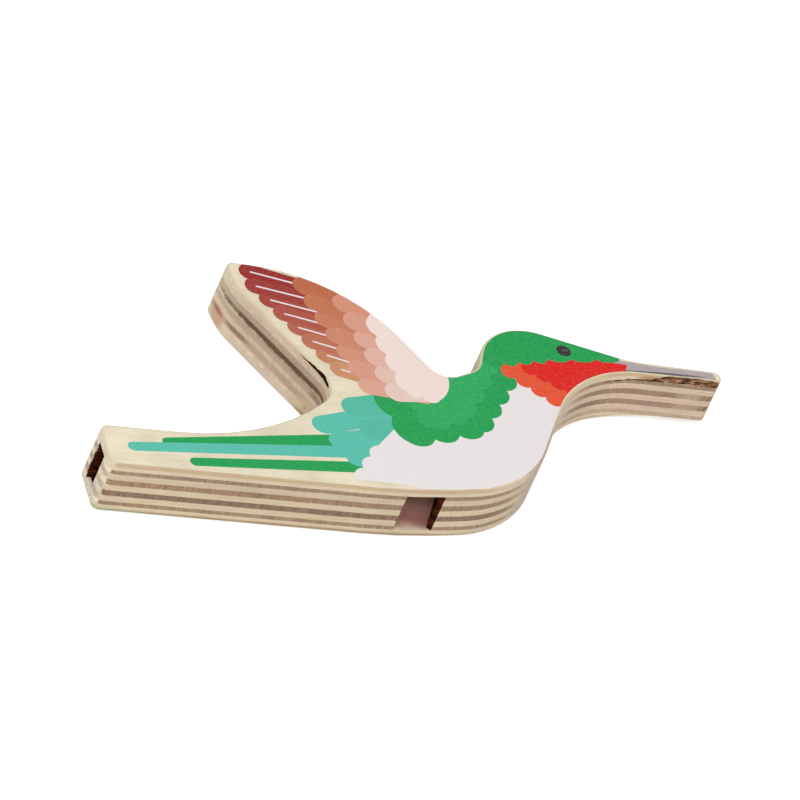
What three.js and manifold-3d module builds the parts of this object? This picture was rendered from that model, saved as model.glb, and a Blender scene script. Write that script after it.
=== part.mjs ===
// Bird-shaped fipple whistle, sawn from a nine-ply birch board and lying on its back face.
// Millimetres. X runs from the tail to the beak, Y from the belly to the wing, Z up through the printed face.

import * as THREE from 'three';
import { mergeVertices } from 'three/addons/utils/BufferGeometryUtils.js';
import Module from 'manifold-3d';

const wasm = await Module();
wasm.setup();

// The board: thick face veneers, thin outer crossbands and five even plies between them.
const facePly = 1.6;
const outerCrossband = 1.0;
const middlePly = 1.36;
const middlePlyCount = 5;
const easedEdge = 0.5;
const easedEdgeFacets = 2;

// The sawn outline. Each corner has its distance from the tail end, its height over the belly edge
// and the radius that rounds it off.
const mouthpieceWidth = 10.9;
const mouthpieceBellyCorner = 1.7;
const mouthpieceBackCorner = 1.9;
const bellyTurn = { x: 62.2, y: 0, r: 110 };
const breast = { x: 87, y: 3.5, r: 24.6 };
const throat = { x: 105.3, y: 39.7, r: 22 };
const beakTip = { x: 136.3, y: 40.8, width: 2.9 };
const beakRoot = { x: 117.5, y: 43.1, r: 22 };
const crown = { x: 89.3, y: 51.8, r: 11.6 };
const nape = { x: 83.8, y: 36.3, r: 5.3 };
const saddle = { x: 75.4, y: 32.4, r: 4 };
const wingReach = 60.5;
const wingFrontDrop = 1.1;
const wingTipDrop = 7.4;
const wingFront = { x: 60.6, y: wingReach - wingFrontDrop, r: 33 };
const wingTip = { x: 36.7, y: wingReach, r: 1.6 };
const wingRear = { x: 37.9, y: wingReach - wingTipDrop, r: 14 };
const crook = { x: 52.7, y: 26.8, r: 6.6 };
const tailFlare = { x: 35, y: mouthpieceWidth, r: 49 };

// The back face veneer is sanded away under the beak, over a slope between these two places.
const beakSanding = { start: 111, end: 125 };

// The air passage, cut through the plies between the two face veneers.
const windwayMouth = 3.6;
const windwayExit = 2.2;
const lipEdge = 1.4;
const windowStart = 60.7;
const windowLength = 7.4;
const labiumSetBack = 1.7;
const labiumRamp = THREE.MathUtils.degToRad(45);
const labiumUndercut = THREE.MathUtils.degToRad(24);
const chamberDepth = 20.4;
const chamberCorner = 6;

// How finely round stretches are faceted, how far cutters reach past what they cut, how close two points
// of an outline lie to count as one, and how close two vertices lie to be welded.
const facetAngle = THREE.MathUtils.degToRad(6);
const reach = 2;
const samePoint = 0.02;
const weldReach = 0.002;

const lightBirch = { color: 0xd9c6a5, roughness: 0.62, metalness: 0 };
const faceBirch = { color: 0xeadfca, roughness: 0.5, metalness: 0 };
const darkCrossband = { color: 0x86705f, roughness: 0.75, metalness: 0 };

// Points of a closed outline whose corners are rounded by arcs. Where two arcs need more than the
// straight run between their corners, both are made smaller in proportion.
function roundedOutline(corners) {
  const bends = corners.map((corner, i) => {
    const here = new THREE.Vector2(corner.x, corner.y);
    const back = new THREE.Vector2().copy(corners.at(i - 1)).sub(here);
    const ahead = new THREE.Vector2().copy(corners[(i + 1) % corners.length]).sub(here);
    const turn = Math.PI - Math.acos(back.dot(ahead) / (back.length() * ahead.length()));
    return { here, back, ahead, turn, run: (corner.r ?? 0) * Math.tan(turn / 2) };
  });
  const fits = bends.map((bend, i) => {
    const wanted = bend.run + bends[(i + 1) % bends.length].run;
    return wanted > bend.ahead.length() ? bend.ahead.length() / wanted : 1;
  });
  const points = [];
  bends.forEach(({ here, back, ahead, turn, run }, i) => {
    const cutBack = run * Math.min(fits[i], fits.at(i - 1));
    const side = Math.sign(ahead.cross(back));
    const start = here.clone().addScaledVector(back.normalize(), cutBack);
    const inward = new THREE.Vector2(back.y, -back.x).multiplyScalar(side);
    const centre = start.clone().addScaledVector(inward, cutBack / Math.tan(turn / 2));
    const steps = cutBack > 0 ? Math.ceil(turn / facetAngle) : 0;
    for (let k = 0; k <= steps; k += 1) {
      const point = start.clone().rotateAround(centre, (side * turn * k) / Math.max(steps, 1));
      if (points.length === 0 || points.at(-1).distanceTo(point) > samePoint) {
        points.push(point);
      }
    }
  });
  return points;
}

// A closed geometry as a solid that can be joined and cut.
function solid(geometry) {
  geometry.deleteAttribute('normal');
  geometry.deleteAttribute('uv');
  const merged = mergeVertices(geometry, weldReach);
  return new wasm.Manifold(new wasm.Mesh({
    numProp: 3,
    vertProperties: new Float32Array(merged.attributes.position.array),
    triVerts: new Uint32Array(merged.index.array),
  }));
}

// A prism over an outline, from one height to another.
function prism(points, low, high) {
  const geometry = new THREE.ExtrudeGeometry(new THREE.Shape(points), { depth: high - low, bevelEnabled: false });
  return solid(geometry.translate(0, 0, low));
}

function meshFrom(piece, name, look) {
  const { vertProperties, triVerts } = piece.getMesh();
  const geometry = new THREE.BufferGeometry();
  geometry.setAttribute('position', new THREE.BufferAttribute(new Float32Array(vertProperties), 3));
  geometry.setIndex(new THREE.BufferAttribute(new Uint32Array(triVerts), 1));
  const mesh = new THREE.Mesh(geometry, new THREE.MeshStandardMaterial({ ...look, flatShading: true }));
  mesh.name = name;
  return mesh;
}

// The plies from the back face up, with the core plies numbered from the printed face down.
const middlePlies = Array(middlePlyCount).fill(middlePly);
const coreThicknesses = [outerCrossband, ...middlePlies, outerCrossband];
const coreCount = coreThicknesses.length;
const thickness = 2 * facePly + coreThicknesses.reduce((sum, ply) => sum + ply, 0);

// The whole board, sawn to the bird's outline with its edges eased on both faces. The two corners of
// the beak tip ask for more than their run, so their arcs meet in one full round.
const outline = roundedOutline([
  { x: 0, y: 0, r: mouthpieceBellyCorner },
  bellyTurn,
  breast,
  throat,
  { x: beakTip.x, y: beakTip.y - beakTip.width / 2, r: beakTip.width },
  { x: beakTip.x, y: beakTip.y + beakTip.width / 2, r: beakTip.width },
  beakRoot,
  crown,
  nape,
  saddle,
  wingFront,
  wingTip,
  wingRear,
  crook,
  tailFlare,
  { x: 0, y: mouthpieceWidth, r: mouthpieceBackCorner },
]);
const board = solid(
  new THREE.ExtrudeGeometry(new THREE.Shape(outline), {
    depth: thickness - 2 * easedEdge,
    bevelEnabled: true,
    bevelThickness: easedEdge,
    bevelSize: easedEdge,
    bevelOffset: -easedEdge,
    bevelSegments: easedEdgeFacets,
  }).translate(0, 0, easedEdge),
);

// The windway runs from the middle of the tail end to the window and narrows on the way. Behind the
// window the chamber opens out. The labium on its beak side has a short ramp outside and is undercut.
const mouthMiddle = mouthpieceWidth / 2;
const windowEnd = windowStart + windowLength;
const rampEnd = windowEnd + (labiumSetBack + reach) * Math.tan(labiumRamp);
const chamberEnd = windowEnd + (chamberDepth - labiumSetBack) * Math.tan(labiumUndercut);
const passage = roundedOutline([
  { x: -reach, y: mouthMiddle - windwayMouth / 2 },
  { x: 0, y: mouthMiddle - windwayMouth / 2 },
  { x: windowStart, y: lipEdge },
  { x: windowStart, y: -reach },
  { x: rampEnd, y: -reach },
  { x: windowEnd, y: labiumSetBack },
  { x: chamberEnd, y: chamberDepth, r: chamberCorner },
  { x: windowStart, y: chamberDepth, r: chamberCorner },
  { x: windowStart, y: lipEdge + windwayExit },
  { x: 0, y: mouthMiddle + windwayMouth / 2 },
  { x: -reach, y: mouthMiddle + windwayMouth / 2 },
]);
const passageCut = prism(passage, -reach, thickness + reach);

// All that lies between the middle line of the windway and the belly edge becomes the lip.
const lipSide = prism(
  [
    new THREE.Vector2(-reach, -reach),
    new THREE.Vector2(windowStart + windowLength / 2, -reach),
    new THREE.Vector2(windowStart + windowLength / 2, lipEdge + windwayExit / 2),
    new THREE.Vector2(windowStart, lipEdge + windwayExit / 2),
    new THREE.Vector2(0, mouthMiddle),
    new THREE.Vector2(-reach, mouthMiddle),
  ],
  -reach,
  thickness + reach,
);

// One veneer of the board, between two heights.
const span = new THREE.Box2().setFromPoints(outline).expandByScalar(reach);
function veneer(low, high) {
  const size = span.getSize(new THREE.Vector2());
  const middle = span.getCenter(new THREE.Vector2());
  const slab = new THREE.BoxGeometry(size.x, size.y, high - low);
  return board.intersect(solid(slab.translate(middle.x, middle.y, (low + high) / 2)));
}

const sandedSlope = Math.atan2(facePly, beakSanding.end - beakSanding.start);
const sandedAway = [-Math.sin(sandedSlope), 0, Math.cos(sandedSlope)];
const backFace = veneer(0, facePly).trimByPlane(sandedAway, sandedAway[0] * beakSanding.start);

const whistle = new THREE.Group();
whistle.add(meshFrom(backFace, 'back_face_ply', faceBirch));
let height = facePly;
for (let number = coreCount; number >= 1; number -= 1) {
  const top = height + coreThicknesses[number - 1];
  const look = number % 2 === 1 ? darkCrossband : lightBirch;
  const ply = veneer(height, top).subtract(passageCut);
  whistle.add(meshFrom(ply.subtract(lipSide), `core_ply_${number}_body`, look));
  whistle.add(meshFrom(ply.intersect(lipSide), `core_ply_${number}_lip`, look));
  height = top;
}
whistle.add(meshFrom(veneer(height, thickness), 'printed_face_ply', faceBirch));

// The origin is the middle of the back face's box, where the whistle lies on the table.
const middle = new THREE.Box2().setFromPoints(outline).getCenter(new THREE.Vector2());
whistle.position.set(-middle.x, -middle.y, 0);

export default whistle;
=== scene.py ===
import math

import bpy
from mathutils import Matrix, Vector


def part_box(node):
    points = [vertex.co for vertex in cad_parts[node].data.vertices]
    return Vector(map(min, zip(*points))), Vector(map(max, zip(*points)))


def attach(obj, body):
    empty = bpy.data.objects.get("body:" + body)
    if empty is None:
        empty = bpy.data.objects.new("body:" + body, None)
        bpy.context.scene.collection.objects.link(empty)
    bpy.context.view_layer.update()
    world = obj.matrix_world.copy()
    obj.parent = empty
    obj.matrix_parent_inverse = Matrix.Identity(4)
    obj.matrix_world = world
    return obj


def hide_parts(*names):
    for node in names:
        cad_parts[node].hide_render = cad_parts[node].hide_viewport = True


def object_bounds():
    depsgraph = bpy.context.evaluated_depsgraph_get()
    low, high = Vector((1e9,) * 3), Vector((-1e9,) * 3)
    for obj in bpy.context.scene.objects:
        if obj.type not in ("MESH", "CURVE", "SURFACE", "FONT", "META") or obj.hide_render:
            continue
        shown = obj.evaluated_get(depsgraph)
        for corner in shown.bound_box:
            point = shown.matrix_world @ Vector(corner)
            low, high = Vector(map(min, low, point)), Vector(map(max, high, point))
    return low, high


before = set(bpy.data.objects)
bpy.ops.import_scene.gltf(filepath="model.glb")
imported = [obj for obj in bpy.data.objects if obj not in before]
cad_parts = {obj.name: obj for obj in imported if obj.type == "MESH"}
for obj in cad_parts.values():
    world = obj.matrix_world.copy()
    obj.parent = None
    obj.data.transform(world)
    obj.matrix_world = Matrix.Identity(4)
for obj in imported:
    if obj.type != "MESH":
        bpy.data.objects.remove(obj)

cad_low, cad_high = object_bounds()

# The back face veneer is one whole sheet of peeled birch, sanded smooth, that the whistle lies on. Its
# grain runs from tail to beak, so its edge is pale along the belly and darker on the tail's end, where
# the saw crossed the fibres. The arris is tan from sanding. Inside the window the floor shows smoke, and
# deeper in it is painted lighter again, as painted light where the chamber lies in shade.
MM = 0.001
merge_reach = 0.0005 * MM
soft_edge_angle = math.radians(50)
face_up = 0.9
belly_rise = 0.45
arris_depth = 1.1 * MM
charred_from = 1.0
smoked_from = 30.0
smoke_low = 0.7
smoke_high = 8.2
face_birch_hex = "e5dcc2"
face_streak_hex = "dccfb1"
face_end_grain_hex = "d9cdb3"
sawn_edge_hex = "d9c7a9"
tan_arris_hex = "b89d7a"
# Floor tones in the passage: under the window from clean through smoke, then painted light deeper in; at the
# mouth dust, painted lighter than the face as painted light.
smoke_and_light_hexes = ("e0d2b8", "cca591", "b98378", "d69b90", "f2b8ac")
dust_and_light_hexes = ("f8efdd", "dccbb4")
charred_hexes = ("743415", "2a0e06", "5a240e", "180603")
scorched_sheen = 0.05

# Sizes of the wood's patterns. Birch pores are under 0.1 mm wide and are drawn wider, so that they show.
fibre_width = 0.32 * MM
fibre_length = 9 * MM
fleck_width = 1.6 * fibre_width
fleck_height = 5 * fibre_width
fray_length = 4 * MM
fray_low = -0.1 * MM
fray_high = 0.15 * MM
band_outer_fade = 0.12 * MM
band_inner_fade = 0.1 * MM
cloud_size = 14 * MM
sanding_length = 5 * MM
sanding_height = 0.3 * MM
pore_depth = 0.03 * MM
mark_grain = 0.6
usual_noise = {"From Min": 0.3, "From Max": 0.7}
wing_edge_middle = (45.0, 40.0)
wing_edge_reach = (16.0, 22.0)


def along_wing(mark_hex, height, depth):
    """A stain along the rear edge of the wing, in a band at that height."""
    return (mark_hex, (*wing_edge_middle, height), (*wing_edge_reach, depth))


# Stains, darker marks, painted shade and painted light: a colour, the middle of the mark as on_outline
# takes it, and how far it reaches.
# The floor under the window is darker towards the foot of the labium.
labium_darkening = ("aa746c", (67.4, 2.6, 1.6), (3.6, 2.4, 3.0))
wing_corner_stain = ("c09c82", (37.2, 55.0, 2.2), (2.0, 3.6, 3.0))
wing_wall_stain = along_wing("d1bca3", 10.2, 1.7)
wing_foot_stain = along_wing("d0beaa", 1.2, 2.6)
# Painted shadow: the foot of the belly edge, next to the floor, is made darker.
belly_foot_shadow = ("a88d66", (40.0, 0.0, 0.0), (70.0, 2.0, 1.1))
crook_stain = ("a8935f", (50.4, 30.4, 0.2), (3.4, 4.8, 1.5))
# Painted shade: the front of the breast, where it turns away from the lamp, is made darker in every veneer.
breast_turn_shade = ("bba895", (93.0, 13.0, 6.0), (9.0, 17.0, 24.0))
torn_edge_stain = ("b18a62", (121.8, 38.8, 10.9), (4.2, 3.0, 0.9))
tail_ink_stain = ("9db184", (4.0, 0.0, 0.0), (9.0, 2.0, 0.9))


def linear(hex_colour):
    parts = [int(hex_colour[i:i + 2], 16) / 255 for i in (0, 2, 4)]
    return tuple(p / 12.92 if p <= 0.04045 else ((p + 0.055) / 1.055) ** 2.4 for p in parts) + (1.0,)


def on_outline(along, up, height=0.0):
    """A place on the whistle in millimetres from the tail end, from the belly edge at the sound window,
    which lies a little higher than at the tail, and from the back face."""
    return cad_low + Vector((along, belly_rise + up, height)) * MM


def blank_finish(name):
    """A new material and its empty tree of nodes."""
    material = bpy.data.materials.new(name)
    material.use_nodes = True
    material.node_tree.nodes.clear()
    return material, material.node_tree


def add(tree, kind, settings=None, links=None):
    """A new node in a tree, with its settings and with sockets linked to its inputs."""
    node = tree.nodes.new(kind)
    for key, value in (settings or {}).items():
        if isinstance(key, int) or key in node.inputs:
            node.inputs[key].default_value = value
        else:
            setattr(node, key, value)
    for key, socket in (links or {}).items():
        tree.links.new(socket, node.inputs[key])
    return node


def away_from(tree, spot, middle, reach):
    """How far a spot lies from the middle of a mark, as a share of the mark's reach."""
    inverse = Vector([1 / (r * MM) for r in reach])
    centred = add(tree, "ShaderNodeMapping",
                  {"Scale": inverse, "Location": -on_outline(*middle) * inverse}, {"Vector": spot})
    length = add(tree, "ShaderNodeVectorMath", {"operation": "LENGTH"}, {0: centred.outputs["Vector"]})
    return length.outputs["Value"]


def off_level(tree, height, level):
    """How far a height lies from a level, above or below it."""
    offset = add(tree, "ShaderNodeMath", {"operation": "SUBTRACT", 1: level}, {0: height})
    apart = add(tree, "ShaderNodeMath", {"operation": "ABSOLUTE"}, {0: offset.outputs["Value"]})
    return apart.outputs["Value"]


def frayed_band(tree, spot, height, band):
    """How much of a crossband's dark layer shows: all of it between its two heights, with frayed rims."""
    wander = add(tree, "ShaderNodeTexNoise", {"Scale": 1 / fray_length, "Detail": 5.0, "Roughness": 0.68},
                 {"Vector": spot})
    rim = add(tree, "ShaderNodeMapRange", {**usual_noise, "To Min": fray_low, "To Max": fray_high},
              {"Value": wander.outputs["Fac"]})
    frayed = add(tree, "ShaderNodeMath", {"operation": "SUBTRACT"},
                 {0: off_level(tree, height, (band[0] + band[1]) / 2), 1: rim.outputs["Result"]})
    half = (band[1] - band[0]) / 2
    inside = add(tree, "ShaderNodeMapRange",
                 {"From Min": half + band_outer_fade, "From Max": half - band_inner_fade},
                 {"Value": frayed.outputs["Value"]})
    return inside.outputs["Result"]


def tan_arris(tree, normal, height, edge):
    """How tan the edge of a face veneer is: most at its arris, and only where it runs along the grain."""
    board_middle = (cad_low.z + cad_high.z) / 2
    depth = add(tree, "ShaderNodeMath", {"operation": "SUBTRACT", 0: (cad_high.z - cad_low.z) / 2},
                {1: off_level(tree, height, board_middle)})
    near = add(tree, "ShaderNodeMapRange",
               {"interpolation_type": "SMOOTHSTEP", "From Min": arris_depth, "From Max": 0.35 * arris_depth,
                "To Max": 0.75}, {"Value": depth.outputs["Value"]})
    near_edge = add(tree, "ShaderNodeMath", {"operation": "MULTIPLY"}, {0: near.outputs["Result"], 1: edge})
    level = add(tree, "ShaderNodeVectorMath", {"operation": "MULTIPLY", 1: (1, 1, 0)}, {0: normal})
    wall = add(tree, "ShaderNodeVectorMath", {"operation": "NORMALIZE"}, {0: level.outputs["Vector"]})
    wall_facing = add(tree, "ShaderNodeSeparateXYZ", {}, {0: wall.outputs["Vector"]})
    turned = add(tree, "ShaderNodeMath", {"operation": "ABSOLUTE"}, {0: wall_facing.outputs["X"]})
    along_grain = add(tree, "ShaderNodeMapRange", {"From Min": 0.6, "From Max": 0.25},
                      {"Value": turned.outputs["Value"]})
    share = add(tree, "ShaderNodeMath", {"operation": "MULTIPLY"},
                {0: near_edge.outputs["Value"], 1: along_grain.outputs["Result"]})
    return share.outputs["Value"]


def stained_and_painted(tree, wood, spot, streaks, pores, stains_and_painted_light):
    """The wood with its stains and its painted shade and light, whose rims fray along the fibres and which
    let the pores show.
    """
    for mark_hex, middle, reach in stains_and_painted_light:
        frayed = add(tree, "ShaderNodeMath", {"operation": "MULTIPLY_ADD", 1: 0.9},
                     {0: streaks, 2: away_from(tree, spot, middle, reach)})
        share = add(tree, "ShaderNodeMapRange",
                    {"interpolation_type": "SMOOTHSTEP", "From Min": 1.5, "From Max": 0.9},
                    {"Value": frayed.outputs["Value"]})
        tone = add(tree, "ShaderNodeMix",
                   {"data_type": "RGBA", "blend_type": "MULTIPLY", 0: mark_grain, 6: linear(mark_hex)},
                   {7: pores})
        wood = add(tree, "ShaderNodeMix", {"data_type": "RGBA"},
                   {0: share.outputs["Result"], 6: wood, 7: tone.outputs[2]}).outputs[2]
    return wood


def sanded_tone(tree, spot):
    """How light the wood is from place to place: soft clouds, crossed by level lines from sanding."""
    clouds = add(tree, "ShaderNodeTexNoise", {"Scale": 1 / cloud_size, "Detail": 2.0}, {"Vector": spot})
    cloudy = add(tree, "ShaderNodeMapRange", {**usual_noise, "To Min": 0.93, "To Max": 1.06},
                 {"Value": clouds.outputs["Fac"]})
    flattened = add(tree, "ShaderNodeMapping",
                    {"Scale": (1 / sanding_length, 1 / sanding_length, 1 / sanding_height)},
                    {"Vector": spot})
    sanding = add(tree, "ShaderNodeTexNoise", {"Scale": 1.0, "Detail": 2.0},
                  {"Vector": flattened.outputs["Vector"]})
    lines = add(tree, "ShaderNodeMapRange", {**usual_noise, "To Min": 0.95, "To Max": 1.05},
                {"Value": sanding.outputs["Fac"]})
    tone = add(tree, "ShaderNodeMath", {"operation": "MULTIPLY"},
               {0: cloudy.outputs["Result"], 1: lines.outputs["Result"]})
    return tone.outputs["Value"]


def birch(name, along_x, hexes, end_range, edge_hex=None, band=None, stains_and_painted_light=(), sheen=0.35):
    """Sawn and sanded birch veneer: silky and pale along its fibres, open-pored and dark across them.
    The hexes are those of the wood, its streaks and its end grain. A face veneer also has an edge_hex,
    and a crossband the heights that its dark band lies between. Stains and painted shade and light are
    given as (hex, middle, reach)."""
    material, tree = blank_finish(name)
    place = add(tree, "ShaderNodeTexCoord")
    spot = place.outputs["Object"]
    facing = add(tree, "ShaderNodeSeparateXYZ", {}, {0: place.outputs["Normal"]})
    height = add(tree, "ShaderNodeSeparateXYZ", {}, {0: spot}).outputs["Z"]
    if along_x:
        fleck = (fibre_length, fibre_width, fibre_width)
    else:
        fleck = (fleck_width, fibre_length, fleck_height)
    fibres = add(tree, "ShaderNodeMapping", {"Scale": [1 / side for side in fleck]}, {"Vector": spot})
    streaks = add(tree, "ShaderNodeTexNoise", {"Scale": 1.0, "Detail": 3.0, "Roughness": 0.6},
                  {"Vector": fibres.outputs["Vector"]}).outputs["Fac"]
    streak_share = add(tree, "ShaderNodeMapRange", {"From Min": 0.4, "From Max": 0.68}, {"Value": streaks})
    wood = add(tree, "ShaderNodeMix", {"data_type": "RGBA", 6: linear(hexes[0]), 7: linear(hexes[1])},
               {0: streak_share.outputs["Result"]}).outputs[2]
    if edge_hex:
        slope = add(tree, "ShaderNodeMath", {"operation": "ABSOLUTE"}, {0: facing.outputs["Z"]})
        edge = add(tree, "ShaderNodeMapRange", {"From Min": 0.99, "From Max": 0.85},
                   {"Value": slope.outputs["Value"]}).outputs["Result"]
        wood = add(tree, "ShaderNodeMix", {"data_type": "RGBA", 7: linear(edge_hex)},
                   {0: edge, 6: wood}).outputs[2]
    pores = add(tree, "ShaderNodeMapRange", {**usual_noise, "To Min": 1.3, "To Max": 0.72},
                {"Value": streaks}).outputs["Result"]
    end_grain = add(tree, "ShaderNodeMix",
                    {"data_type": "RGBA", "blend_type": "MULTIPLY", 0: 1.0, 6: linear(hexes[2])}, {7: pores})
    crossing = add(tree, "ShaderNodeMath", {"operation": "ABSOLUTE"},
                   {0: facing.outputs["X" if along_x else "Y"]})
    end_share = add(tree, "ShaderNodeMapRange",
                    {"interpolation_type": "SMOOTHSTEP", "From Min": end_range[0], "From Max": end_range[1]},
                    {"Value": crossing.outputs["Value"]}).outputs["Result"]
    if band:
        end_share = add(tree, "ShaderNodeMath", {"operation": "MULTIPLY"},
                        {0: end_share, 1: frayed_band(tree, spot, height, band)}).outputs["Value"]
    wood = add(tree, "ShaderNodeMix", {"data_type": "RGBA"},
               {0: end_share, 6: wood, 7: end_grain.outputs[2]}).outputs[2]
    if edge_hex:
        wood = add(tree, "ShaderNodeMix", {"data_type": "RGBA", 7: linear(tan_arris_hex)},
                   {0: tan_arris(tree, place.outputs["Normal"], height, edge), 6: wood}).outputs[2]
    colour = add(tree, "ShaderNodeMix", {"data_type": "RGBA", "blend_type": "MULTIPLY", 0: 1.0},
                 {6: stained_and_painted(tree, wood, spot, streaks, pores, stains_and_painted_light), 7: sanded_tone(tree, spot)})
    bump = add(tree, "ShaderNodeBump", {"Strength": 0.2, "Distance": pore_depth}, {"Height": streaks})
    roughness = add(tree, "ShaderNodeMapRange", {"To Min": 0.5, "To Max": 0.72}, {"Value": streaks})
    shader = add(tree, "ShaderNodeBsdfPrincipled", {"IOR": 1.5, "Specular IOR Level": sheen},
                 {"Base Color": colour.outputs[2], "Roughness": roughness.outputs["Result"],
                  "Normal": bump.outputs["Normal"]})
    add(tree, "ShaderNodeOutputMaterial", {}, {"Surface": shader.outputs["BSDF"]})
    return material


def blotched(name, hexes, patch, ramp=None, dark_mark=None, sheen=0.2):
    """Matt wood in several tones, in patches of that length, depth and height or, with a ramp of
    (from, to) over Y, from the first tone to the last. A dark mark is one soft darker patch, (hex, middle,
    reach)."""
    material, tree = blank_finish(name)
    spot = add(tree, "ShaderNodeTexCoord").outputs["Object"]
    patchwork = add(tree, "ShaderNodeMapping", {"Scale": [1 / (side * MM) for side in patch]},
                    {"Vector": spot})
    patches = add(tree, "ShaderNodeTexNoise", {"Scale": 1.0, "Detail": 4.0},
                  {"Vector": patchwork.outputs["Vector"]})
    if ramp:
        inward = add(tree, "ShaderNodeSeparateXYZ", {}, {0: spot})
        wander = add(tree, "ShaderNodeMath", {"operation": "MULTIPLY_ADD", 1: (ramp[1] - ramp[0]) / 3},
                     {0: patches.outputs["Fac"], 2: inward.outputs["Y"]})
        share = add(tree, "ShaderNodeMapRange", {"From Min": ramp[0], "From Max": ramp[1]},
                    {"Value": wander.outputs["Value"]})
    else:
        share = add(tree, "ShaderNodeMapRange", {"From Min": 0.38, "From Max": 0.62},
                    {"Value": patches.outputs["Fac"]})
    tones = add(tree, "ShaderNodeValToRGB", {}, {"Fac": share.outputs["Result"]})
    stops = tones.color_ramp.elements
    for middle in range(1, len(hexes) - 1):
        stops.new(middle / (len(hexes) - 1))
    for stop, tone_hex in zip(stops, hexes):
        stop.color = linear(tone_hex)
    colour = tones.outputs["Color"]
    if dark_mark:
        dark_mark_hex, middle, reach = dark_mark
        share = add(tree, "ShaderNodeMapRange",
                    {"interpolation_type": "SMOOTHSTEP", "From Min": 1.0, "From Max": 0.1},
                    {"Value": away_from(tree, spot, middle, reach)})
        colour = add(tree, "ShaderNodeMix", {"data_type": "RGBA", 7: linear(dark_mark_hex)},
                     {0: share.outputs["Result"], 6: colour}).outputs[2]
    shader = add(tree, "ShaderNodeBsdfPrincipled",
                 {"Roughness": 0.75, "IOR": 1.5, "Specular IOR Level": sheen}, {"Base Color": colour})
    add(tree, "ShaderNodeOutputMaterial", {}, {"Surface": shader.outputs["BSDF"]})
    return material


def make_active(piece):
    bpy.ops.object.select_all(action="DESELECT")
    piece.select_set(True)
    bpy.context.view_layer.objects.active = piece


def sawn_copy(node_name, finishes):
    """A copy of a solid with its corners merged, all in the first of its finishes."""
    piece = bpy.data.objects.new("sawn_" + node_name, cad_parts[node_name].data.copy())
    bpy.context.scene.collection.objects.link(piece)
    make_active(piece)
    bpy.ops.mesh.customdata_custom_splitnormals_clear()
    piece.data.materials.clear()
    for finish in finishes:
        piece.data.materials.append(finish)
    bpy.ops.object.mode_set(mode="EDIT")
    bpy.ops.mesh.select_all(action="SELECT")
    bpy.ops.mesh.remove_doubles(threshold=merge_reach)
    bpy.ops.object.mode_set(mode="OBJECT")
    for face in piece.data.polygons:
        face.material_index = 0
    return piece


def cut_across(piece, along):
    """Adds edges to a piece where a plane across the whistle meets it."""
    make_active(piece)
    bpy.ops.object.mode_set(mode="EDIT")
    bpy.ops.mesh.select_all(action="SELECT")
    bpy.ops.mesh.bisect(plane_co=on_outline(along, 0), plane_no=(1, 0, 0))
    bpy.ops.object.mode_set(mode="OBJECT")


def measured(spot):
    """How far a spot lies from the tail end and from the lowest line of the belly, in millimetres."""
    return ((spot - cad_low) / MM).xy


def settle(piece, node_name):
    """Smooths the round stretches of a piece and puts it in the place of its solid."""
    make_active(piece)
    bpy.ops.object.shade_smooth_by_angle(angle=soft_edge_angle)
    bpy.ops.object.modifier_add(type="WEIGHTED_NORMAL")
    piece.modifiers[-1].keep_sharp = True
    bpy.ops.object.modifier_apply(modifier=piece.modifiers[-1].name)
    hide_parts(node_name)
    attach(piece, "root")


# Inside the passage the veneer is dusty at the mouth, charred in the windway and smoked at the window.
# At the mouth it is also painted lighter than the face, and under the window lighter again deeper in:
# painted light in the passage's shade.
face_birch = birch("sanded_face_birch", True, (face_birch_hex, face_streak_hex, face_end_grain_hex),
                   (0.9, 1.0), edge_hex=sawn_edge_hex,
                   stains_and_painted_light=[wing_wall_stain, wing_foot_stain, belly_foot_shadow, wing_corner_stain,
                           crook_stain, torn_edge_stain, tail_ink_stain, breast_turn_shade])
dust_and_light_birch = blotched("dust_and_light_birch", dust_and_light_hexes, (1.6, 1.6, 1.6))
charred = blotched("charred_birch", charred_hexes, (2.2, 1.2, 0.8), sheen=scorched_sheen)
smoke_and_light_birch = blotched("smoke_and_light_birch", smoke_and_light_hexes, (2.5, 2.5, 2.5),
                        (on_outline(0, smoke_low).y, on_outline(0, smoke_high).y), labium_darkening)
back_face = sawn_copy("back_face_ply", [face_birch, dust_and_light_birch, charred, smoke_and_light_birch])
inner_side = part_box("back_face_ply")[1].z
cut_across(back_face, charred_from)
cut_across(back_face, smoked_from)
for face in back_face.data.polygons:
    if face.normal.z > face_up and abs(face.center.z - inner_side) < merge_reach:
        along, up = measured(face.center)
        face.material_index = 1 + (along > charred_from) + (along > smoked_from)
settle(back_face, "back_face_ply")

# The seven core veneers are glued with their grain crossed in turn. The air passage cuts each of them
# into a body and a thin lip at the belly. The outer edge is sanded, but the windway and the labium are
# scorched, and ragged where one veneer was cut a little further than the next.
core_count = 7
long_ply_hexes = {
    2: ("d4c0a6", "cab493", "c2ae96"),
    4: ("d9c6aa", "cfb996", "c2ae96"),
    6: ("d9c6aa", "cfb996", "c2ae96"),
}
crossband_hexes = ("dfceb1", "d6c19f")
crossband_end_hexes = {1: "9b7f67", 3: "9b7e62", 5: "876c57", 7: "9f836a"}
scorched_crossband_hexes = ("44190c", "210a05", "280d06")
scorched_long_ply_hexes = ("54210c", "280d04", "3b1508")
scorched_end_range = (0.4, 0.95)
glue_hexes = ("3d2416", "24120b")
torn_hexes = ("b08768", "835a41", "3c2115")
# The crook's split is painted near black: painted shade inside the narrow split, on its torn walls.
split_shade_hexes = ("4a3222", "20130b")
torn_patch = (1.8, 0.6, 0.5)
low_crook_stain = ("c6b18e", (50.4, 30.4, 1.8), (4.4, 5.4, 3.0))
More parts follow.
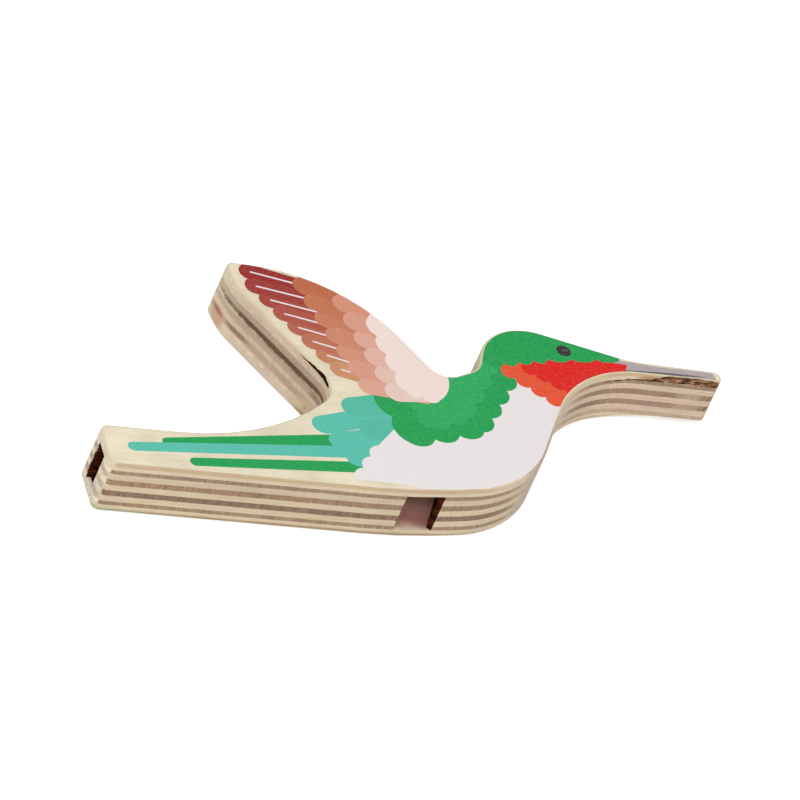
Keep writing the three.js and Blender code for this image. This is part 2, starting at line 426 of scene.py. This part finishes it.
# Along the wing the seam between core veneers 2 and 3 is darker: partly dark wood, partly painted shade of
# the open seam.
dark_seam_and_shade = ("715739", (45.4, 40.0, 7.45), (24.0, 26.0, 1.0))
beak_stain = ("d4bba3", (121.0, 38.0, 6.0), (24.0, 16.0, 14.0))
tail_end_stain = ("b09b86", (0.0, 9.5, 6.0), (1.6, 6.5, 24.0))
# Painted light: the pale veneers on the tail's end are made lighter all over that end face.
painted_tail_end_light = ("e4d7bb", (0.0, 5.0, 6.0), (0.9, 24.0, 24.0))
edge_stains_and_painted_light = {
    1: [wing_wall_stain, along_wing("b29b85", 9.3, 0.45), painted_tail_end_light, breast_turn_shade],
    2: [along_wing("b29b85", 8.7, 5.0), dark_seam_and_shade, beak_stain, tail_end_stain, breast_turn_shade],
    # Core veneer 3 is darkest along the wing: dark wood, and painted shade of the open seam beside it.
    3: [("5e4226", (45.4, 40.0, 7.8), (24.0, 26.0, 1.4)), ("b59a84", (130.6, 39.0, 7.4), (3.2, 6.0, 5.0)),
        painted_tail_end_light, breast_turn_shade],
    4: [along_wing("b49e88", 6.0, 5.0), ("98836c", (51.2, 29.6, 6.0), (2.4, 3.4, 5.0)), dark_seam_and_shade,
        beak_stain, tail_end_stain, breast_turn_shade],
    5: [along_wing("cab29a", 4.6, 5.0), ("a08470", (122.0, 39.5, 4.6), (14.0, 10.0, 5.0)),
        ("b2957f", (131.0, 39.0, 4.6), (3.8, 6.0, 5.0)), along_wing("b29c85", 3.9, 0.5), wing_corner_stain,
        painted_tail_end_light, breast_turn_shade],
    6: [along_wing("b29c85", 3.9, 1.6), wing_corner_stain, ("9a6a4e", (36.6, 55.4, 3.4), (2.4, 3.0, 0.9)),
        ("8c7350", (39.7, 49.4, 3.6), (3.0, 5.2, 0.95)), low_crook_stain, beak_stain, tail_end_stain,
        breast_turn_shade],
    7: [wing_foot_stain, wing_corner_stain, low_crook_stain,
        ("bfa68a", (121.0, 39.5, 2.1), (26.0, 10.0, 5.0)), painted_tail_end_light, breast_turn_shade],
}

# The air passage as the solids have it, and how much further each veneer is cut at its two sharp edges.
window_start = 60.7
window_end = 68.1
chamber_end = 77.5
chamber_top = 20.9
labium_tip = 1.7
windway_roof = 7.25
windway_start = 0.5
windway_floor = 1.0
wall_facing = 0.5
ragged_reach = 0.1
mouth_ragged = {1: 0.3, 2: 0.0, 3: 0.45, 4: 0.15, 5: 0.5, 6: 0.3, 7: 0.0}
labium_ragged = {1: 0.1, 2: -0.12, 3: 0.16, 4: -0.05, 5: 0.14, 6: -0.14, 7: -0.05}
bared_from = 125.0

# Splits between the printed face veneer and the first core veneer, at the beak and in the crook of the
# wing: a place to look from, height over the back, length, width and depth.
to_beak_edge = (0, 1, 0)
to_crook_edge = (1, 0, 0)
beak_splits = [
    (112.4, 20.0, 10.0, 1.6, 0.35, 0.5),
    (114.6, 20.0, 10.05, 2.0, 0.4, 0.5),
    (116.8, 20.0, 10.3, 1.4, 0.5, 0.5),
    (119.0, 20.0, 10.4, 3.4, 0.4, 0.5),
    (121.6, 20.0, 10.5, 3.6, 0.55, 0.5),
    (123.4, 20.0, 10.85, 3.4, 1.1, 0.6),
    (125.8, 20.0, 11.2, 5.6, 1.6, 0.75),
    (128.2, 20.0, 11.25, 6.4, 1.6, 0.75),
    (130.8, 20.0, 11.25, 6.6, 1.6, 0.75),
    (133.0, 20.0, 11.15, 5.6, 1.6, 0.75),
    (134.9, 20.0, 10.95, 3.2, 1.4, 0.7),
]
crook_splits = [
    (30.0, 34.6, 11.25, 3.6, 0.3, 0.9),
    (30.0, 32.6, 11.35, 3.8, 0.65, 1.2),
    (30.0, 30.6, 11.35, 3.8, 0.9, 1.3),
    (30.0, 28.9, 11.1, 3.0, 0.85, 1.3),
]
split_jag = 0.07 * MM


def split(piece, places, heading, finish):
    """Tears splits out of a veneer, from the outside of its edge inwards."""
    bpy.context.view_layer.update()
    level = sum((Vector(corner).z for corner in piece.bound_box), 0.0) / len(piece.bound_box)
    seats = []
    for along, up, *sizes in places:
        start = on_outline(along, up)
        hit, spot, normal, index = piece.ray_cast(Vector((start.x, start.y, level)), Vector(heading))
        seats.append((spot, normal, sizes))
    for count, (spot, normal, (height, length, width, depth)) in enumerate(seats):
        bpy.ops.mesh.primitive_ico_sphere_add(
            subdivisions=3, radius=MM, location=(spot.x, spot.y, cad_low.z + height * MM),
            rotation=(0, 0, math.atan2(normal.x, -normal.y)), scale=(length / 2, depth, width / 2))
        tear = bpy.context.object
        bpy.ops.object.transform_apply(location=False, rotation=False, scale=True)
        bpy.ops.object.mode_set(mode="EDIT")
        bpy.ops.mesh.select_all(action="SELECT")
        bpy.ops.transform.vertex_random(offset=split_jag, seed=count)
        bpy.ops.object.mode_set(mode="OBJECT")
        tear.data.materials.append(finish)
        make_active(piece)
        bpy.ops.object.modifier_add(type="BOOLEAN")
        piece.modifiers[-1].operation = "DIFFERENCE"
        piece.modifiers[-1].solver = "MANIFOLD"
        piece.modifiers[-1].material_mode = "TRANSFER"
        piece.modifiers[-1].object = tear
        bpy.ops.object.modifier_apply(modifier=piece.modifiers[-1].name)
        bpy.data.objects.remove(tear)


def is_labium(face):
    along, up = measured(face.center)
    return face.normal.x < -wall_facing and window_start < along < chamber_end and up < chamber_top


def is_windway(face, part):
    along, up = measured(face.center)
    if part == "lip":
        return face.normal.y > wall_facing
    return face.normal.y < -wall_facing and windway_start < along < window_start and up > windway_floor


def is_glued(face, number):
    """Whether a face is glued to the next veneer: a level one is, but not where the back is sanded off."""
    is_bared = number == core_count and face.normal.z < 0 and face.center.x > on_outline(bared_from, 0).x
    return abs(face.normal.z) > wall_facing and not is_bared


glue = blotched("dark_glue_film", glue_hexes, (3.0, 3.0, 3.0))
torn_wood = blotched("torn_birch", torn_hexes, torn_patch)
# Painted shade: the walls of the crook's split are near black.
shaded_split = blotched("shaded_split", split_shade_hexes, torn_patch, sheen=scorched_sheen)
for number in range(1, core_count + 1):
    is_crossband = number % 2 == 1
    low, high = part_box(f"core_ply_{number}_body")
    if is_crossband:
        edge = birch(f"birch_crossband_{number}", False, (*crossband_hexes, crossband_end_hexes[number]),
                     (0.58, 0.92), band=(low.z, high.z), stains_and_painted_light=edge_stains_and_painted_light[number])
        scorched = birch(f"scorched_crossband_{number}", False, scorched_crossband_hexes, scorched_end_range,
                         sheen=scorched_sheen)
    else:
        edge = birch(f"birch_long_ply_{number}", True, long_ply_hexes[number], (0.6, 0.92),
                     stains_and_painted_light=edge_stains_and_painted_light[number])
        scorched = birch(f"scorched_long_ply_{number}", True, scorched_long_ply_hexes, scorched_end_range,
                         sheen=scorched_sheen)
    for part in ("body", "lip"):
        node_name = f"core_ply_{number}_{part}"
        ply = sawn_copy(node_name, [edge, scorched, glue, charred])
        if number == core_count:
            cut_across(ply, bared_from)
        for face in ply.data.polygons:
            if is_glued(face, number):
                face.material_index = 2
            elif is_labium(face):
                face.material_index = 1
            elif is_windway(face, part):
                face.material_index = 3
        for vertex in ply.data.vertices:
            along, up = measured(vertex.co)
            if part == "body" and along < ragged_reach and abs(up - windway_roof) < ragged_reach:
                vertex.co.y += mouth_ragged[number] * MM
            if part == "body" and abs(along - window_end) < ragged_reach and up < 2 * labium_tip:
                vertex.co.x += labium_ragged[number] * MM
        if node_name == "core_ply_1_body":
            split(ply, beak_splits, to_beak_edge, torn_wood)
            split(ply, crook_splits, to_crook_edge, shaded_split)
        settle(ply, node_name)

# The printed face veneer closes the passage from above. It is the same sanded birch as the back, and
# its underside is split off along the beak and in the crook of the wing.
printed_face = sawn_copy("printed_face_ply", [face_birch])
split(printed_face, beak_splits, to_beak_edge, torn_wood)
split(printed_face, crook_splits, to_crook_edge, shaded_split)
settle(printed_face, "printed_face_ply")

# The print: flat inks on the sanded face, in a plain feather pattern of scallops and straps. The inks
# are thin, so the pores of the birch show through them, and they end where the edge is eased.
ink_step = 0.006 * MM
ink_sunk = 0.004 * MM
ink_fleck = (0.7 * MM, 0.25 * MM, 0.25 * MM)
pore_print = 0.02 * MM
arc_facet = math.radians(8)
arc_least = 6
round_end = 0.55
face_top = cad_high.z
flat_up = 0.99
clip_reach = 2 * MM
sanded_from = 110.5
white_hex = "e8e1e2"
green_hex = "0b9d4e"
leaf_hex = "1fa85c"
teal_hex = "55beaa"
sea_hex = "50b89f"
red_hex = "dd0f06"
flame_hex = "e5502c"
oxblood_hex = "962323"
brick_hex = "bd6844"
salmon_hex = "c98c66"
rose_hex = "d58f77"
blossom_hex = "dba28e"
pink_hex = "e6c8bb"
blush_hex = "efdcd4"
lilac_hex = "b0a3a6"
slate_hex = "5f5f64"
night_hex = "2a262e"
glint_hex = "4a464d"


def bowed(corners):
    """Points of a closed outline. Each corner is (along, up, bow, count): what follows it is that many
    equal arcs to the next corner, each standing out by bow."""
    points = []
    for i, corner in enumerate(corners):
        start = Vector(corner[:2])
        end = Vector(corners[(i + 1) % len(corners)][:2])
        bow = corner[2] if len(corner) > 2 else 0.0
        count = corner[3] if len(corner) > 3 else 1
        step = (end - start) / count
        outward = Vector((step.y, -step.x)).normalized()
        half = 2 * math.atan2(2 * bow, step.length)
        pieces = max(arc_least, math.ceil(abs(half) / arc_facet)) if bow else 1
        for k in range(count):
            for j in range(pieces):
                share = j / pieces
                if bow:
                    radius = step.length / 2 / math.sin(half)
                    turn = half * (2 * share - 1)
                    share = 0.5 + radius * math.sin(turn) / step.length
                    aside = radius * (math.cos(turn) - math.cos(half))
                else:
                    aside = 0.0
                points.append(start + step * (k + share) + outward * aside)
    return points


def feather(root, tip, root_width, tip_width):
    """Points of a strap from root to tip with a round end."""
    root = Vector(root)
    tip = Vector(tip)
    heading = (tip - root).normalized()
    aside = Vector((-heading.y, heading.x))
    shoulder = tip - heading * tip_width * round_end
    right = shoulder - aside * tip_width / 2
    left = shoulder + aside * tip_width / 2
    near = root - aside * root_width / 2
    far = root + aside * root_width / 2
    return bowed([tuple(near), (*right, round_end * tip_width), tuple(left), tuple(far)])


# The ink is flat and matt, with pale flecks where it leaves pores open, drawn coarser than they are to show.
ink_finish, ink_tree = blank_finish("flat_ink_on_birch")
ink_place = add(ink_tree, "ShaderNodeTexCoord")
ink_fibres = add(ink_tree, "ShaderNodeMapping", {"Scale": [1 / side for side in ink_fleck]},
                 {"Vector": ink_place.outputs["Object"]})
ink_pores = add(ink_tree, "ShaderNodeTexNoise", {"Scale": 1.0, "Detail": 4.0, "Roughness": 0.65},
                {"Vector": ink_fibres.outputs["Vector"]})
ink_colour = add(ink_tree, "ShaderNodeAttribute", {"attribute_name": "ink"})
ink_bare = add(ink_tree, "ShaderNodeMapRange", {"From Min": 0.52, "From Max": 0.78, "To Max": 0.18},
               {"Value": ink_pores.outputs["Fac"]})
ink_thin = add(ink_tree, "ShaderNodeMix", {"data_type": "RGBA", 7: linear(face_birch_hex)},
               {0: ink_bare.outputs["Result"], 6: ink_colour.outputs["Color"]})
ink_shade = add(ink_tree, "ShaderNodeMapRange",
                {"From Min": 0.25, "From Max": 0.6, "To Min": 0.94, "To Max": 1.0},
                {"Value": ink_pores.outputs["Fac"]})
ink_final = add(ink_tree, "ShaderNodeMix", {"data_type": "RGBA", "blend_type": "MULTIPLY", 0: 1.0},
                {6: ink_thin.outputs[2], 7: ink_shade.outputs["Result"]})
ink_bump = add(ink_tree, "ShaderNodeBump", {"Strength": 0.2, "Distance": pore_print},
               {"Height": ink_pores.outputs["Fac"]})
ink_shader = add(ink_tree, "ShaderNodeBsdfPrincipled",
                 {"Roughness": 0.55, "IOR": 1.5, "Specular IOR Level": 0.25},
                 {"Base Color": ink_final.outputs[2], "Normal": ink_bump.outputs["Normal"]})
add(ink_tree, "ShaderNodeOutputMaterial", {}, {"Surface": ink_shader.outputs["BSDF"]})

# The flat of the face, up to where its edge is eased, as a thick slab that trims every printed shape.
flat = bpy.data.objects.new("flat_of_the_face", printed_face.data.copy())
bpy.context.scene.collection.objects.link(flat)
make_active(flat)
bpy.ops.object.mode_set(mode="EDIT")
bpy.ops.mesh.select_mode(type="FACE")
bpy.ops.mesh.select_all(action="DESELECT")
bpy.ops.object.mode_set(mode="OBJECT")
for face in flat.data.polygons:
    face.select = not (face.normal.z > flat_up and abs(face.center.z - face_top) < merge_reach)
bpy.ops.object.mode_set(mode="EDIT")
bpy.ops.mesh.delete(type="FACE")
bpy.ops.mesh.select_all(action="SELECT")
bpy.ops.transform.translate(value=(0, 0, -clip_reach))
bpy.ops.mesh.extrude_region_move(TRANSFORM_OT_translate={"value": (0, 0, 2 * clip_reach)})
bpy.ops.mesh.select_all(action="SELECT")
bpy.ops.mesh.normals_make_consistent(inside=False)
bpy.ops.object.mode_set(mode="OBJECT")


def film(points, hex_colour, layer):
    """One printed shape: a film of ink on the flat of the face, as high as its layer in the print."""
    curve = bpy.data.curves.new("ink_shape", "CURVE")
    curve.dimensions = "2D"
    curve.fill_mode = "BOTH"
    curve.extrude = clip_reach / 2
    spline = curve.splines.new("POLY")
    spline.points.add(len(points) - 1)
    for knot, point in zip(spline.points, points):
        knot.co = (*on_outline(*point).xy, 0, 1)
    spline.use_cyclic_u = True
    shape = bpy.data.objects.new("ink_shape", curve)
    bpy.context.scene.collection.objects.link(shape)
    shape.location.z = face_top
    make_active(shape)
    bpy.ops.object.convert(target="MESH")
    bpy.ops.object.transform_apply()
    bpy.ops.object.mode_set(mode="EDIT")
    bpy.ops.mesh.select_all(action="SELECT")
    bpy.ops.mesh.remove_doubles(threshold=merge_reach)
    bpy.ops.mesh.normals_make_consistent(inside=False)
    bpy.ops.object.mode_set(mode="OBJECT")
    bpy.ops.object.modifier_add(type="BOOLEAN")
    shape.modifiers[-1].operation = "INTERSECT"
    shape.modifiers[-1].solver = "MANIFOLD"
    shape.modifiers[-1].object = flat
    bpy.ops.object.modifier_apply(modifier=shape.modifiers[-1].name)
    for vertex in shape.data.vertices:
        vertex.co.z = face_top + layer * ink_step if vertex.co.z > face_top else face_top - ink_sunk
    shape.data.materials.clear()
    shape.data.materials.append(ink_finish)
    colours = shape.data.color_attributes.new("ink", "FLOAT_COLOR", "POINT")
    for spot in colours.data:
        spot.color = linear(hex_colour)
    return shape


def between(first, last, share):
    """The place at a share of the way from the first to the last."""
    return Vector(first).lerp(Vector(last), share)


def mixed(first_hex, last_hex, share):
    """The colour at a share of the way from the first to the last."""
    pairs = [(int(first_hex[i:i + 2], 16), int(last_hex[i:i + 2], 16)) for i in (0, 2, 4)]
    return "".join(f"{round(a + (b - a) * share):02x}" for a, b in pairs)


def feather_row(roots, tips, count, root_width, tip_width, hexes, layer):
    """A row of feathers between two roots and two tips, every other one a layer higher."""
    films = []
    for k in range(count):
        share = k / (count - 1)
        shape = feather(between(*roots, share), between(*tips, share), root_width, tip_width)
        films.append(film(shape, mixed(*hexes, share), layer + k % 2))
    return films


def on_back(shape):
    """The same film mirrored on the back, without what was sanded off under the beak, or None."""
    back = bpy.data.objects.new("back_" + shape.name, shape.data.copy())
    bpy.context.scene.collection.objects.link(back)
    for vertex in back.data.vertices:
        vertex.co.z = cad_low.z + cad_high.z - vertex.co.z
    make_active(back)
    bpy.ops.object.mode_set(mode="EDIT")
    bpy.ops.mesh.select_all(action="SELECT")
    bpy.ops.mesh.flip_normals()
    bpy.ops.mesh.bisect(plane_co=on_outline(sanded_from, 0), plane_no=(1, 0, 0), use_fill=True,
                        clear_outer=True)
    bpy.ops.object.mode_set(mode="OBJECT")
    if not back.data.polygons:
        bpy.data.objects.remove(back)
        return None
    return back


def print_on_faces(name, films):
    """Joins the films of one part of the bird on the face, and the same part on the back."""
    backs = [back for back in map(on_back, films) if back]
    for side, shapes in (("print_", films), ("back_print_", backs)):
        if shapes:
            make_active(shapes[0])
            for shape in shapes:
                shape.select_set(True)
            bpy.ops.object.join()
            printed = bpy.context.view_layer.objects.active
            printed.name = side + name
            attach(printed, "root")


# Tail: two green straps and a longer teal one between them. They are printed first, and two rows of rump
# feathers cover their roots.
print_on_faces("tail", [
    film(feather((60, 13.2), (12.0, 6.9), 4.0, 2.4), green_hex, 1),
    film(feather((60, 5.6), (16.5, 2.2), 3.2, 2.2), green_hex, 1),
    film(feather((60, 9.8), (4.6, 4.9), 3.4, 2.4), teal_hex, 2),
])
print_on_faces("rump", feather_row(((72, 24), (70, 10)), ((44.6, 15.2), (49.4, 7.2)), 3, 5.2, 4.8,
                                   (teal_hex, teal_hex), 3)
               + feather_row(((72, 26), (72, 12)), ((52.0, 21.0), (56.4, 9.6)), 3, 5.8, 5.4,
                             (sea_hex, sea_hex), 5))

# Breast: white ink from the throat to the belly, with a scalloped end over the tail.
print_on_faces("breast", [
    film(bowed([(50.0, 1.6), (62.0, 1.2), (70.0, -3.0), (96.0, -3.0), (112.0, 30.0), (104.0, 40.0),
                (84.0, 38.0), (70.0, 26.0), (57.0, 11.5, 0.9, 3)]), white_hex, 7),
])

# Back: a green mantle whose two scalloped edges lie over the breast.
print_on_faces("back", [
    film(bowed([(60.0, 27.0, 1.5, 2), (64.0, 13.0, 1.4, 3), (80.5, 18.0, 1.2, 4), (91.0, 34.5),
                (93.0, 43.0), (86.0, 52.0), (76.0, 30.0), (66.0, 34.0)]), green_hex, 8),
    film(bowed([(66.0, 27.0, 1.4, 2), (69.5, 17.8, 1.2, 2), (78.0, 21.6, 1.1, 4), (88.0, 38.5), (82.0, 44.0),
                (74.0, 28.0)]), leaf_hex, 9),
])

# Wing: eight flight feathers with white shafts, darkest at the tip, then two rows of coverts and a pale
# scalloped shoulder.
flight_count = 8
flight_roots = ((62.0, 52.5), (68.5, 27.0))
flight_first_tip = (39.3, 58.0)
flight_tips = ((39.6, 54.0), (52.2, 32.8))
flight_widths = (2.6, 4.4)
shaft_widths = (0.55, 0.4)
shaft_short = 2.2
flight_films = []
for k in range(flight_count):
    share = k / (flight_count - 1)
    root = between(*flight_roots, share)
    tip = Vector(flight_first_tip) if k == 0 else between(*flight_tips, (k - 1) / (flight_count - 2))
    shade = mixed(oxblood_hex, salmon_hex, share)
    flight_films.append(film(feather(root, tip, *flight_widths), shade, 10 + k % 2))
    shaft_end = tip + (root - tip).normalized() * shaft_short
    flight_films.append(film(feather(root, shaft_end, *shaft_widths), white_hex, 12))
print_on_faces("flight_feathers", flight_films)
print_on_faces("coverts", feather_row(((66, 48), (71, 26)), ((50.0, 56.0), (57.0, 28.5)), 7, 3.2, 4.9,
                                      (brick_hex, blossom_hex), 13)
               + feather_row(((70, 45), (73, 27)), ((57.4, 52.2), (62.2, 27.0)), 6, 3.4, 5.2,
                             (rose_hex, pink_hex), 15))
print_on_faces("shoulder", [
    film(bowed([(63.5, 47.5, 1.1, 4), (66.6, 27.6, 1.2, 2), (73.0, 25.6, 0.9), (76.6, 32.4), (73.0, 40.0),
                (66.0, 51.0)]), blush_hex, 17),
])

# Head: a grey beak, a red bib in two scalloped rows, a green cap and a round dark eye.
print_on_faces("beak", [
    film(bowed([(111.0, 34.0), (125.0, 37.6), (134.4, 38.4, 0.5), (134.4, 41.2), (123.0, 41.5),
                (112.0, 42.6)]), lilac_hex, 8),
    film(bowed([(112.0, 39.4, 0.35), (133.4, 39.9, 0.35)]), slate_hex, 9),
])
print_on_faces("bib", [
    film(bowed([(88.6, 36.6, 1.1, 5), (101.5, 25.2), (110.0, 32.0), (110.0, 41.0), (92.0, 43.0)]),
         flame_hex, 10),
    film(bowed([(93.2, 37.6, 0.9, 4), (103.6, 30.6), (111.0, 34.0, 0.6), (116.4, 41.2), (95.0, 43.0)]),
         red_hex, 11),
])
print_on_faces("cap", [
    film(bowed([(86.4, 37.5, 1.0, 4), (99.5, 40.6, 0.8, 3), (115.2, 42.4), (112.0, 50.0), (90.0, 56.0),
                (80.0, 44.0)]), green_hex, 12),
])
print_on_faces("eye", [
    film(bowed([(102.1, 43.5, 1.5), (105.1, 43.5, 1.5)]), night_hex, 13),
    film(bowed([(103.1, 43.6, 0.45), (104.7, 43.6, 0.45)]), glint_hex, 14),
])
bpy.data.objects.remove(flat)

# The floor is a wide sheet of pale matt paper under the whistle. It glows to the eye alone, so that it
# shows white, and keeps a soft shadow.
floor_size = 8.0
floor_gap = 0.2 * MM
floor_glow = 0.5
paper_grey = 0.82
bpy.ops.mesh.primitive_plane_add(size=floor_size, location=(0, 0, cad_low.z - floor_gap))
floor = bpy.context.object
floor.name = "floor"
floor_paper, paper = blank_finish("white_paper")
rays = add(paper, "ShaderNodeLightPath")
seen = add(paper, "ShaderNodeMath", {"operation": "MAXIMUM"},
           {0: rays.outputs["Is Camera Ray"], 1: rays.outputs["Is Glossy Ray"]})
seen_any = add(paper, "ShaderNodeMath", {"operation": "MAXIMUM"},
               {0: seen.outputs["Value"], 1: rays.outputs["Is Transmission Ray"]})
glow = add(paper, "ShaderNodeMath", {"operation": "MULTIPLY", 1: floor_glow}, {0: seen_any.outputs["Value"]})
glowing = add(paper, "ShaderNodeEmission", {}, {"Strength": glow.outputs["Value"]})
matt = add(paper, "ShaderNodeBsdfDiffuse", {"Color": (paper_grey, paper_grey, paper_grey, 1)})
both = add(paper, "ShaderNodeAddShader", {}, {0: matt.outputs["BSDF"], 1: glowing.outputs["Emission"]})
add(paper, "ShaderNodeOutputMaterial", {}, {"Surface": both.outputs["Shader"]})
floor.data.materials.append(floor_paper)

# Light: a white room all round, which is dimmer as a light than it looks, and one large soft lamp above
# the tail side.
room_strength = 0.6
lamp_place = (-0.55, -0.75, 1.3)
lamp_size = 1.1
lamp_power = 15.3
room = bpy.data.worlds.new("white_room")
bpy.context.scene.world = room
room.use_nodes = True
room_tree = room.node_tree
room_tree.nodes.clear()
room_rays = add(room_tree, "ShaderNodeLightPath")
room_light = add(room_tree, "ShaderNodeMapRange", {"To Min": room_strength, "To Max": 1.0},
                 {"Value": room_rays.outputs["Is Camera Ray"]})
room_white = add(room_tree, "ShaderNodeBackground", {"Color": (1, 1, 1, 1)},
                 {"Strength": room_light.outputs["Result"]})
add(room_tree, "ShaderNodeOutputWorld", {}, {"Surface": room_white.outputs["Background"]})
bpy.ops.object.light_add(type="AREA", location=lamp_place)
lamp = bpy.context.object
lamp.name = "soft_lamp"
lamp.data.size = lamp_size
lamp.data.energy = lamp_power
lamp.rotation_euler = lamp.location.to_track_quat("Z", "Y").to_euler()
bpy.context.scene.view_settings.view_transform = "Standard"

# Camera: a long lens from above the belly side, turned a little to the tail end and rolled on its own
# axis, so that the belly edge lies almost level.
view_turn = math.radians(29.42)
view_height = math.radians(37.8)
view_roll = math.radians(24.5)
view_distance = 2.107
view_target = on_outline(72.38, 38.44)
sensor_width = 36
lens_length = 495
sight_end = 20
turned = Matrix.Rotation(-view_turn, 4, "Z") @ Matrix.Rotation(math.pi / 2 - view_height, 4, "X")
bpy.ops.object.camera_add(location=view_target + turned @ Vector((0, 0, view_distance)),
                          rotation=(turned @ Matrix.Rotation(view_roll, 4, "Z")).to_euler())
camera = bpy.context.object
camera.data.sensor_width = sensor_width
camera.data.lens = lens_length
camera.data.clip_end = sight_end
bpy.context.scene.camera = camera
